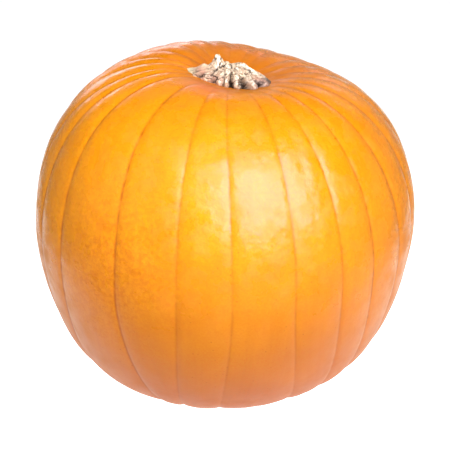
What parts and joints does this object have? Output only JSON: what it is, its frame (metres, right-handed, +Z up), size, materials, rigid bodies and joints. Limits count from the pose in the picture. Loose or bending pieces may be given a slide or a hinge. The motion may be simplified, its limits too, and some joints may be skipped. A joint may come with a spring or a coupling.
{
  "type": "pumpkin",
  "caption": "Whole round ribbed orange pumpkin with a dry broken stem stub in its crown, standing upright on its own base.",
  "frame": {"origin": "middle of the pumpkin's length and width, at the level of the surface that it stands on", "axes": "+Z up along the fruit's core from the blossom end to the stem, -Y towards the side that shows its widest ribs, +X to that side's right"},
  "size_m": [0.2812, 0.2784, 0.2463],
  "materials": {
    "rind": "satin",
    "dry_stem": "matte"
  },
  "bodies": {
    "root": {"fruit": "rind", "stem_stub": "dry_stem"}
  },
  "joints": []
}
